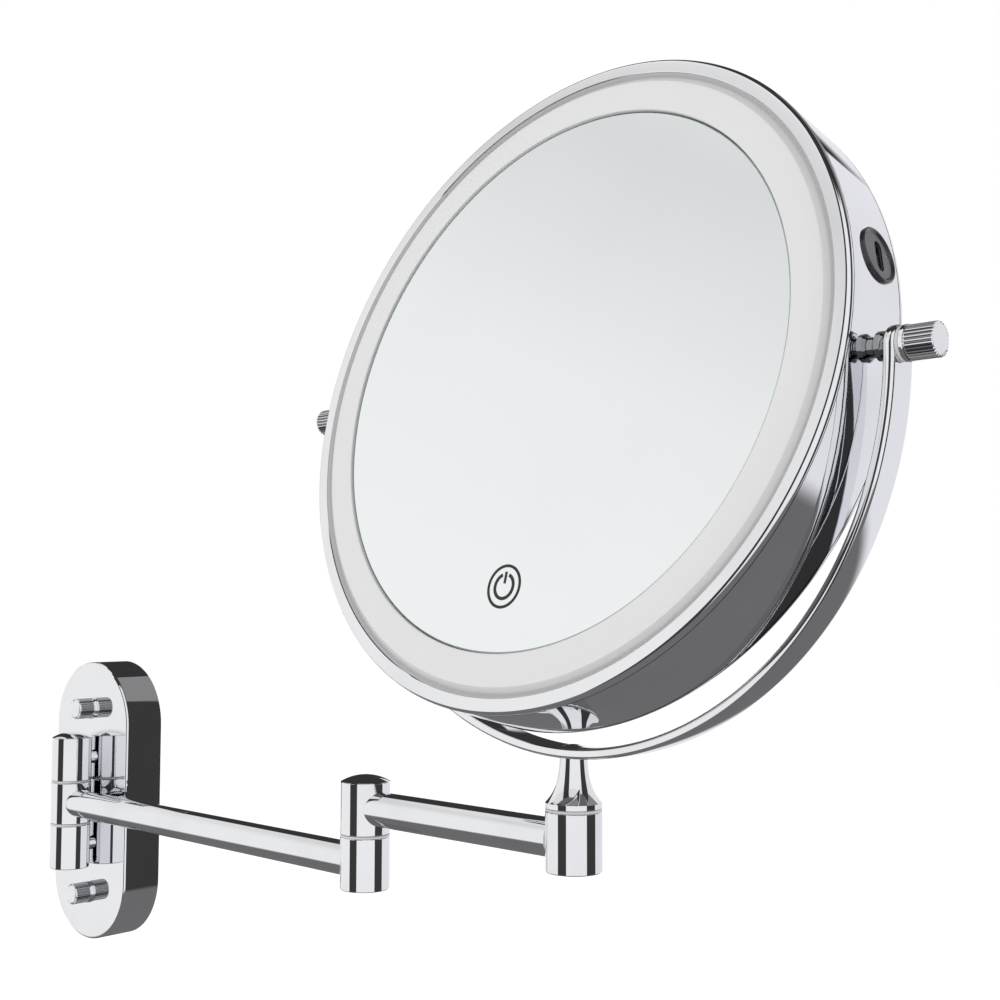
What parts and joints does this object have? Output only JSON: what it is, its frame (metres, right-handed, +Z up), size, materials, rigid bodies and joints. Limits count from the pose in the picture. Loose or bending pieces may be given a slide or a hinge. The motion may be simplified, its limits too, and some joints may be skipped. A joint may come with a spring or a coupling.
{
  "type": "extendable shaving mirror",
  "caption": "Wall-mounted round mirror with a lit rim, held in a half-ring yoke on a folding jointed arm, with thumb-screw tilt pivots.",
  "frame": {"origin": "centre of the wall plate's back face, on the wall", "axes": "+Y into the wall, -Y out into the room, +Z up, +X to the right along the wall"},
  "size_m": [0.4719, 0.0932, 0.3341],
  "materials": {
    "polished": "polished chrome plate",
    "steel": "plain machined steel",
    "tube": "polished chrome plate, drawn tube",
    "nylon": "plain light grey washer",
    "bead": "dark polished chrome",
    "plug": "matt dark grey",
    "drum": "polished chrome plate, lightly drawn round the rim",
    "glass": "silvered plain glass with a bevelled edge",
    "lens": "silvered magnifying glass",
    "diffuser": "frosted white light ring",
    "board": "white solder mask",
    "led": "phosphor-filled resin",
    "frame": "moulded dark grey",
    "symbol": "etched grey line",
    "green_board": "green solder mask",
    "cell": "foil pouch",
    "port": "black moulding",
    "port_shell": "formed sheet",
    "light_pipe": "clear moulded pin"
  },
  "bodies": {
    "wall_mount": {"wall_bracket": "steel", "cover_studs": "steel", "wall_cover": "polished", "cover_nuts": "polished", "knuckle_top": "polished", "knuckle_bottom": "polished", "knuckle_cap": "polished", "knuckle_screws": "steel", "wall_hinge_pin": "steel", "knuckle_washers": "nylon"},
    "inner_arm": {"inner_arm_hub": "polished", "inner_arm_tube": "tube", "elbow_bottom": "polished", "elbow_pin": "steel", "elbow_washer": "nylon"},
    "outer_arm": {"elbow_top": "polished", "elbow_cap": "polished", "outer_arm_tube": "tube", "swivel_socket": "polished", "swivel_washer": "nylon", "socket_plug": "plug"},
    "yoke": {"yoke_spindle": "polished", "spindle_nut": "steel", "spindle_spring_washer": "steel", "yoke_band": "polished", "yoke_screw": "polished", "pivot_washers": "nylon"},
    "head": {"drum": "drum", "front_bezel": "polished", "front_mirror": "glass", "light_ring": "diffuser", "led_board": "board", "leds": "led", "mirror_tray": "frame", "power_symbol": "symbol", "touch_pad": "green_board", "control_board": "green_board", "battery": "cell", "usb_insert": "port", "usb_socket": "port_shell", "charge_light": "light_pipe", "rear_bezel": "polished", "rear_mirror": "lens", "rear_carrier": "frame", "pivot_bosses": "steel", "pivot_spacers": "bead", "frame_screws": "steel"},
    "knob_left": {"pivot_knob_left": "polished"},
    "knob_right": {"pivot_knob_right": "polished"}
  },
  "joints": [
    {"name": "wall_swivel", "type": "hinge", "parent": "wall_mount", "child": "inner_arm", "pos_m": [0, -0.029, 0], "axis": [0, 0, 1], "range_deg": [-176, 4]},
    {"name": "elbow", "type": "hinge", "parent": "inner_arm", "child": "outer_arm", "pos_m": [0.21428, -0.04398, 0], "axis": [0, 0, 1], "continuous": true},
    {"name": "yoke_swivel", "type": "hinge", "parent": "outer_arm", "child": "yoke", "pos_m": [0.31573, -0.05108, 0], "axis": [0, 0, 1], "continuous": true},
    {"name": "head_tilt", "type": "hinge", "parent": "yoke", "child": "head", "pos_m": [0.31573, -0.05108, 0.1619], "axis": [0.9976, -0.0698, 0], "continuous": true},
    {"name": "knob_left_turn", "type": "hinge", "parent": "head", "child": "knob_left", "pos_m": [0.19602, -0.04271, 0.1619], "axis": [-0.9976, 0.0698, 0], "range_deg": [0, 360]},
    {"name": "knob_right_turn", "type": "hinge", "parent": "head", "child": "knob_right", "pos_m": [0.43544, -0.05945, 0.1619], "axis": [0.9976, -0.0698, 0], "range_deg": [0, 360]}
  ]
}
